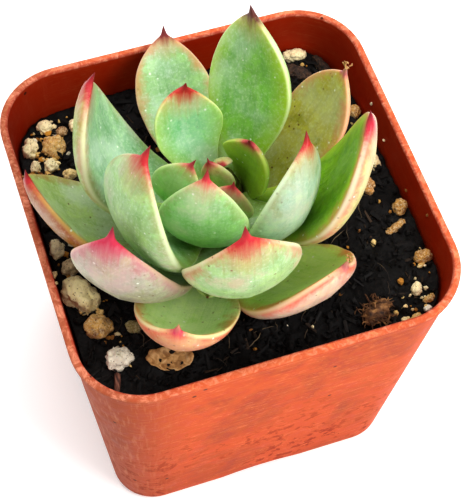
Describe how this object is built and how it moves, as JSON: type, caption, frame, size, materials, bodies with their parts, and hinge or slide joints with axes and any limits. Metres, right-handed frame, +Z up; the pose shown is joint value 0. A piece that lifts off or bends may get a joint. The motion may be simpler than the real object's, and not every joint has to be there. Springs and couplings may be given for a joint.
{
  "type": "potted succulent",
  "caption": "Rosette succulent with plump, pointed, red-tipped leaves, growing in gritty potting mix in a tapered square nursery pot.",
  "frame": {"origin": "middle of the flat underside of the pot, on the pot's own axis", "axes": "+Z up along the stem, -Y out of the pot's front wall, +X to the right seen from the front"},
  "size_m": [0.064, 0.064, 0.0939],
  "materials": {
    "terracotta_plastic": "thin injection-moulded polypropylene, orange-red, satin with fine scuffs",
    "potting_mix": "near-black peat and fibre crumbs, damp, matte",
    "stem": "short corky brown-green stem, hidden by the leaves",
    "leaf": "waxy pale green skin with a thin bloom, pale margins and crimson tips",
    "pumice": "porous cream to ochre grains, matte",
    "perlite": "white popped grain, matte",
    "bark": "dark brown bark and twig, matte",
    "coir": "brown coconut fibre in a loose clump",
    "dried_leaf": "papery tan husk of a dead leaf"
  },
  "bodies": {
    "root": {"pot": "terracotta_plastic", "potting_mix": "potting_mix", "stem": "stem", "leaf_front_low": "leaf", "leaf_far_left": "leaf", "leaf_front_right_low": "leaf", "leaf_back_right": "leaf", "leaf_back_left": "leaf", "leaf_front_tucked": "leaf", "leaf_core_right": "leaf", "leaf_front_left": "leaf", "leaf_right": "leaf", "leaf_front": "leaf", "leaf_left": "leaf", "leaf_back": "leaf", "leaf_left_inner": "leaf", "leaf_right_inner": "leaf", "leaf_back_inner": "leaf", "leaf_front_inner": "leaf", "leaf_core_left": "leaf", "leaf_bud_front": "leaf", "leaf_bud_right": "leaf", "leaf_bud_back": "leaf", "pumice_back_left_1": "pumice", "pumice_back_left_2": "pumice", "pumice_back_left_3": "pumice", "pumice_back_left_4": "pumice", "pumice_back_left_5": "pumice", "pumice_left_1": "pumice", "pumice_left_2": "pumice", "pumice_left_3": "pumice", "pumice_left_4": "pumice", "pumice_left_5": "pumice", "pumice_left_6": "pumice", "pumice_block": "pumice", "pumice_front_left_1": "pumice", "perlite_front_left": "perlite", "pumice_front_left_2": "pumice", "pumice_back_right": "pumice", "pumice_right_1": "pumice", "pumice_right_2": "pumice", "pumice_right_3": "pumice", "pumice_right_4": "pumice", "pumice_right_5": "pumice", "pumice_right_6": "pumice", "pumice_front_right_1": "pumice", "pumice_front_right_2": "pumice", "pumice_front_right_3": "pumice", "pumice_front_right_4": "pumice", "bark_chip_1": "bark", "bark_chip_2": "bark", "twig": "bark", "coir_clump": "coir", "dried_leaf": "dried_leaf"}
  },
  "joints": []
}
